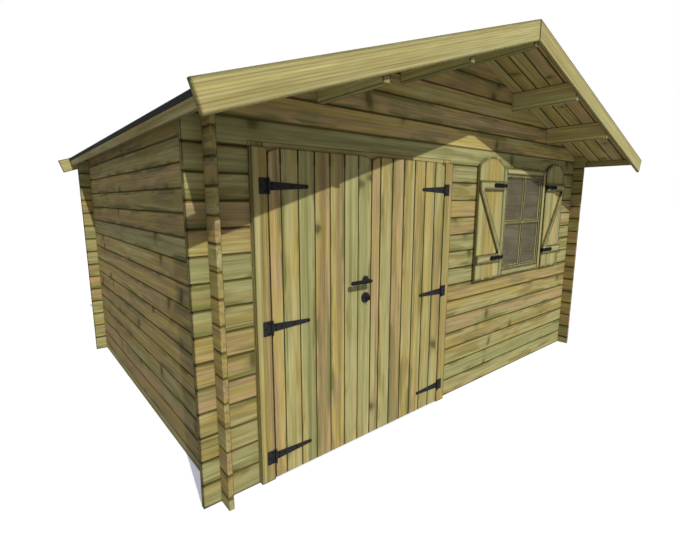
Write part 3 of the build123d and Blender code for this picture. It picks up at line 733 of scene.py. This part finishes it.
def floor_material(stage):
    """A plain pale floor that throws back less light than it shows."""
    material, steps, shader = new_material("stage_floor")
    seen = steps.node("ShaderNodeLightPath").outputs["Is Camera Ray"]
    glow = (stage.glow, stage.glow, BLUE_GLOW * stage.glow, 1.0)
    steps.set(shader, {
        "Base Color": steps.mix(seen, stage.bounce, stage.floor),
        "Emission Color": steps.mix(seen, (0.0, 0.0, 0.0, 1.0), glow),
        "Emission Strength": 1.0,
        "Roughness": 0.9,
        "Specular IOR Level": 0.0})
    return material


# -------------------- operators
class SHED_OT_groups(bpy.types.Operator):
    """Build the shader groups that the finishes share"""
    bl_idname = "shed.groups"
    bl_label = "Shader groups"

    def execute(self, context):
        make_board_layout()
        make_knots()
        make_pine(context.scene.shed_timber)
        make_grit()
        make_wear()
        make_screw_tree()
        make_bead_tree()
        make_lap_tree()
        return {"FINISHED"}


class SHED_OT_walls(bpy.types.Operator):
    """Finish the log walls and gables"""
    bl_idname = "shed.walls"
    bl_label = "Log walls"

    def execute(self, context):
        timber = context.scene.shed_timber
        course = timber.log_height
        end = high("back_wall").x
        logs = {"board": course, "joint": timber.log_joint, "knot_size": timber.large_knot, "ribs": 0.30,
                "nook": 0.4}
        for name, lift, spread, nodes in (
                ("logs_across", 0.93, 0.75, (
                    "front_wall_left", "front_wall_middle", "front_wall_right", "front_wall_under_window",
                    "front_wall_over_window", "front_wall_over_door", "back_wall")),
                ("logs_gable", 1.12, 0.50, ("front_gable", "back_gable"))):
            lay(name, "X", "Z", *nodes, **logs, first=0.0, seed=1.0, joint_shade=0.62, knots=0.30, bands=0.34,
                stain=2.0, clouds=1.0, spread=spread, edge=0.011, zone=("X", end - LOG_TIP, FAR),
                ends=("X", end - SAWN_END), lift=lift)
        # on the side walls only what lies inside the middle of the logs has shaded edges
        lay("logs_side", "Y", "Z", "left_wall", "right_wall", **logs, first=course / 2, seed=2.0,
            joint_shade=0.46, knots=0.24, bands=0.30, stain=1.6, clouds=0.9, spread=0.36, edge=0.005,
            zone=("X", 0.0, high("right_wall").x - LOG_HALF), lift=0.88)
        return {"FINISHED"}


class SHED_OT_roof(bpy.types.Operator):
    """Finish the roof boards, purlins, felt, barge boards and eaves boards"""
    bl_idname = "shed.roof"
    bl_label = "Roof"

    def execute(self, context):
        width = context.scene.shed_timber.roof_board
        front = low("roof_boards_left").y + FIRST_ROOF_BOARD
        for side, turn in (("left", ROOF_SLOPE), ("right", -ROOF_SLOPE)):
            lay(f"roof_boards_{side}", "X", "Y", board=width, first=front, seed=3.0, turn=turn,
                joint=0.0042, knots=0.3, bands=0.3, edge=0.006, lift=1.18)
            lay(f"barge_{side}", "X", "Z", f"barge_board_front_{side}", f"barge_board_rear_{side}", seed=4.0,
                turn=turn, knots=0.05, bands=0.22, stain=0.3, ribs=0.10, clouds=0.4, tone=0.26, flutes=0.48,
                edge=0.016, lift=1.16)
            lay(f"eaves_{side}", "Y", "Z", f"eaves_board_{side}", seed=5.0, knots=0.15, ribs=0.5, bands=0.3,
                tone=0.36, edge=0.010)
        # the ridge purlin and those left of it are darker, but for their side faces; every purlin's side
        # faces are painted paler, as painted light
        for number, name in enumerate(("ridge_purlin", "purlin_left_upper", "purlin_left_lower",
                                       "purlin_right_upper", "purlin_right_lower")):
            lift, flank = (0.85, 2.1) if number < 3 else (1.05, 1.36)
            lay(name, "Y", "Z", seed=6.0 + number, knots=0.25, bands=0.3, tone=0.12 + 0.04 * number,
                edge=0.014, lift=lift, flank=flank)
        finish = context.scene.shed_finish
        felt = felt_material(finish)
        dress(felt, "roof_felt_left", "roof_felt_right", "ridge_felt")
        self.felt_laps(finish, felt)
        return {"FINISHED"}

    def felt_laps(self, finish, felt):
        """Horizontal laps of the felt and the clout nails along them."""
        nails = clout_material(finish)
        for side, way in (("left", -1.0), ("right", 1.0)):
            start, end = low(f"roof_felt_{side}"), high(f"roof_felt_{side}")
            ridge = Vector((0.0, 0.0, end.z))
            down = Vector((way * math.cos(ROOF_SLOPE), 0.0, -math.sin(ROOF_SLOPE)))
            up = Vector((way * math.sin(ROOF_SLOPE), 0.0, math.cos(ROOF_SLOPE)))
            run = abs(start.x if way < 0 else end.x) / math.cos(ROOF_SLOPE)
            length = end.y - start.y
            rows = [share * run for share in LAP_ROWS]
            tip = (0.0, way * ROOF_SLOPE, 0.0)
            middle = Vector((0.0, (start.y + end.y) / 2, 0.0))
            grow(f"felt_laps_{side}", "Felt laps",
                 [ridge + middle + down * row + up * finish.lap_thickness * LAP_OUT for row in rows], "shed",
                 {"Length": length, "Width": finish.lap_width,
                                  "Thickness": finish.lap_thickness, "Turn": tip, "Material": felt})
            count = round(length / finish.nail_pitch)
            places = [ridge + Vector((0.0, start.y + length * (step + 0.5) / count, 0.0))
                      + down * (row + NAILS_BELOW) + up * finish.lap_thickness
                      for row in rows for step in range(count)]
            grow(f"felt_nails_{side}", "Screw heads", places, "shed",
                 {"Size": finish.nail_size, "Depth": finish.nail_depth, "Turn": tip, "Material": nails})


class SHED_OT_door(bpy.types.Operator):
    """Finish the door frame, leaves and ledges"""
    bl_idname = "shed.door"
    bl_label = "Door"

    def execute(self, context):
        timber = context.scene.shed_timber
        for side, seed, joint in (("left", 12.0, 0.0036), ("right", 13.0, 0.0054)):
            leaf = f"door_leaf_{side}"
            lay(leaf, "Z", "X", board=timber.door_board, first=high(leaf).x, seed=seed, joint=joint,
                joint_shade=0.90, knots=0.14, knot_size=timber.large_knot, bands=0.55, stain=1.3, ribs=0.35,
                clouds=0.8, spread=0.72, fineness=0.6, edge=0.011, zone=("Z", high(leaf).z - LEAF_TOP, FAR))
            lay(f"door_ledges_{side}", "X", "Z", board=APART, first=0.0, seed=14.0)
        lay("door_posts", "Z", "X", "door_posts", "door_jambs", seed=15.0, knots=0.1, bands=0.45, ribs=0.5,
            tone=0.50, edge=0.010, lift=0.92)
        lay("door_rails", "X", "Z", "door_head", "door_sill", seed=16.0, knots=0.0, bands=0.3, tone=0.34,
            edge=0.010)
        return {"FINISHED"}


class SHED_OT_window(bpy.types.Operator):
    """Finish the window frame, sash and glass"""
    bl_idname = "shed.window"
    bl_label = "Window"

    def execute(self, context):
        trim = {"knots": 0.0, "bands": 0.12, "ribs": 0.3}
        frame_trim = {"stain": 0.4, "clouds": 0.3, "tone": 0.24, "edge": 0.026, **trim}
        lay("window_uprights", "Z", "X", "window_jambs", "window_sash", seed=17.0, **frame_trim)
        lay("window_rails", "X", "Z", seed=18.0, **frame_trim)
        finish = context.scene.shed_finish
        dress(glass_material(finish), "window_glass")
        beads = timber_material("glazing_beads", "Z", "X", seed=18.5, tone=0.2, edge=0.0, **trim)
        start, end = low("window_glass"), high("window_glass")
        middle = (start + end) / 2
        wide, tall = (end.x - start.x - GLAZING_BAR) / 2, (end.z - start.z - GLAZING_BAR) / 2
        places = [(middle.x + a * (wide + GLAZING_BAR) / 2, start.y - finish.bead * BEAD_OUT,
                   middle.z + b * (tall + GLAZING_BAR) / 2) for a in (-1, 1) for b in (-1, 1)]
        grow("glazing_beads", "Glazing beads", places, "shed",
             {"Width": wide, "Height": tall, "Bead": finish.bead, "Material": beads})
        return {"FINISHED"}


class SHED_OT_shutters(bpy.types.Operator):
    """Finish the shutters and their ledges"""
    bl_idname = "shed.shutters"
    bl_label = "Shutters"

    def execute(self, context):
        for side, seed, lean in (("left", 19.0, 1.0), ("right", 21.0, -1.0)):
            name = f"shutter_{side}"
            start, end = low(name).x, high(name).x
            grooves = ("X", (start + end) / 2, (end - start) / (2 * SHUTTER_BOARDS))
            lay(name, "Z", "X", seed=seed, knots=0.0, bands=0.90, stain=1.0, ribs=0.1, clouds=0.4, tone=0.34,
                fineness=0.4, edge=0.034, calm=grooves)
            name = f"shutter_ledges_{side}"
            start, end = low(name), high(name)
            foot, head = start.z + SHUTTER_LEDGE, end.z - SHUTTER_LEDGE
            turn = lean * math.atan2(head - foot, end.x - start.x - SHUTTER_BRACE)
            lay(name, "X", "Z", seed=seed + 1.0, knots=0.0, bands=0.12, stain=0.3, ribs=0.3, clouds=0.3,
                tone=0.22, edge=0.034, brace=(foot, head, turn))
        return {"FINISHED"}


class SHED_OT_floor(bpy.types.Operator):
    """Finish the floor boards and bearers"""
    bl_idname = "shed.floor"
    bl_label = "Floor"

    def execute(self, context):
        width = context.scene.shed_timber.floor_board
        lay("floor_boards", "X", "Y", board=width, first=low("floor_boards").y, seed=23.0, knots=0.4)
        lay("floor_bearers", "Y", "X", board=APART, seed=24.0)
        return {"FINISHED"}


class SHED_OT_ironwork(bpy.types.Operator):
    """Finish the hinges, handle and lock"""
    bl_idname = "shed.ironwork"
    bl_label = "Ironwork"

    def execute(self, context):
        finish = context.scene.shed_finish
        dress(iron_material(finish), "door_hinge_plates", "door_straps_left", "door_straps_right",
              "door_rose", "door_lever", "door_lock")
        dress(dark_iron_material(finish, "shutter_iron"), "shutter_straps_left", "shutter_straps_right",
              "shutter_pintles")
        return {"FINISHED"}


class SHED_OT_screws(bpy.types.Operator):
    """Put the screws in the hinges"""
    bl_idname = "shed.screws"
    bl_label = "Screws"

    def execute(self, context):
        finish = context.scene.shed_finish
        heads = dark_iron_material(finish, "screw_heads")
        values = {"Size": finish.screw_size, "Depth": finish.screw_depth,
                  "Turn": (math.radians(90.0), 0.0, 0.0), "Material": heads}
        joints = {joint["name"]: joint for joint in frame["joints"]}
        plates = []
        for side, inward in (("left", 1.0), ("right", -1.0)):
            pin = joints[f"{side}_door_hinge"]["pos_m"][0]
            face = low(f"door_leaf_{side}").y - DOOR_IRON - finish.screw_depth * HEAD_OUT
            plates += [(pin - inward * out, face, height + rise) for height in finish.hinge_heights
                       for out, rise in PLATE_SCREWS]
            straps = [(pin + inward * along, face, height + rise) for height in finish.hinge_heights
                      for along, rise in STRAP_SCREWS]
            grow(f"strap_screws_{side}", "Screw heads", straps, f"{side}_door", values)
        grow("plate_screws", "Screw heads", plates, "shed", values)
        for side, outward in (("left", -1.0), ("right", 1.0)):
            pin = joints[f"{side}_shutter_hinge"]["pos_m"][0]
            start, end = low(f"shutter_ledges_{side}"), high(f"shutter_ledges_{side}")
            face = start.y - SHUTTER_IRON - finish.screw_depth * HEAD_OUT
            places = [(pin + outward * along, face, height)
                      for height in (start.z + SHUTTER_LEDGE / 2, end.z - SHUTTER_LEDGE / 2)
                      for along in SHUTTER_SCREWS]
            grow(f"shutter_screws_{side}", "Screw heads", places, f"{side}_shutter", values)
        return {"FINISHED"}


class SHED_OT_stage(bpy.types.Operator):
    """Lay the floor and set up the light and the camera"""
    bl_idname = "shed.stage"
    bl_label = "Stage"

    def execute(self, context):
        stage = context.scene.shed_stage
        mesh = bpy.data.meshes.new("stage_floor")
        reach, drop = 60.0, 0.002
        mesh.from_pydata([(-reach, -reach, 0), (reach, -reach, 0), (reach, reach, 0), (-reach, reach, 0)],
                         [], [(0, 1, 2, 3)])
        mesh.materials.append(floor_material(stage))
        floor = put("stage_floor", mesh)
        floor.location.z = -drop

        world = bpy.data.worlds.new("stage_sky")
        world.use_nodes = True
        steps = Steps(world.node_tree)
        seen = steps.node("ShaderNodeLightPath").outputs["Is Camera Ray"]
        steps.set(world.node_tree.nodes["Background"], {
            "Color": steps.mix(seen, stage.sky_colour, (1.0, 1.0, 1.0, 1.0)),
            "Strength": steps.between(seen, 0.0, 1.0, stage.sky, 1.0)})
        context.scene.world = world

        lamp = bpy.data.lights.new("stage_sun", "SUN")
        lamp.energy = stage.sun
        lamp.color = stage.sun_colour[:3]
        lamp.angle = stage.sun_spread
        aim(put("stage_sun", lamp), stage.sun_way)

        glow = bpy.data.lights.new("stage_room", "AREA")
        glow.energy = stage.room
        glow.size = stage.room_size
        put("stage_room", glow).location = stage.room_place

        lens = bpy.data.cameras.new("stage_camera")
        lens.sensor_width = 36.0
        lens.lens = stage.lens
        lens.clip_start = 0.05
        lens.clip_end = 500.0
        camera = put("stage_camera", lens)
        camera.location = stage.eye
        aim(camera, (math.sin(stage.turn) * math.cos(stage.tilt), math.cos(stage.turn) * math.cos(stage.tilt),
                     -math.sin(stage.tilt)))
        context.scene.camera = camera
        context.scene.view_settings.view_transform = "Standard"
        return {"FINISHED"}


OPERATORS = (SHED_OT_groups, SHED_OT_walls, SHED_OT_roof, SHED_OT_door, SHED_OT_window, SHED_OT_shutters,
             SHED_OT_floor, SHED_OT_ironwork, SHED_OT_screws, SHED_OT_stage)
PROPERTIES = (("shed_timber", ShedTimber), ("shed_finish", ShedFinish), ("shed_stage", ShedStage))


class SHED_PT_panel(bpy.types.Panel):
    """Steps that finish the shed, in order"""
    bl_idname = "SHED_PT_panel"
    bl_label = "Garden shed"
    bl_space_type = "VIEW_3D"
    bl_region_type = "UI"
    bl_category = "Shed"

    def draw(self, context):
        for operator in OPERATORS:
            self.layout.operator(operator.bl_idname)


def register():
    for name, group in PROPERTIES:
        bpy.utils.register_class(group)
        setattr(bpy.types.Scene, name, bpy.props.PointerProperty(type=group))
    for operator in OPERATORS:
        bpy.utils.register_class(operator)
    bpy.utils.register_class(SHED_PT_panel)


def unregister():
    bpy.utils.unregister_class(SHED_PT_panel)
    for operator in reversed(OPERATORS):
        bpy.utils.unregister_class(operator)
    for name, group in reversed(PROPERTIES):
        delattr(bpy.types.Scene, name)
        bpy.utils.unregister_class(group)


def main():
    register()
    for operator in OPERATORS:
        family, step = operator.bl_idname.split(".")
        getattr(getattr(bpy.ops, family), step)()


if __name__ == "__main__":
    main()
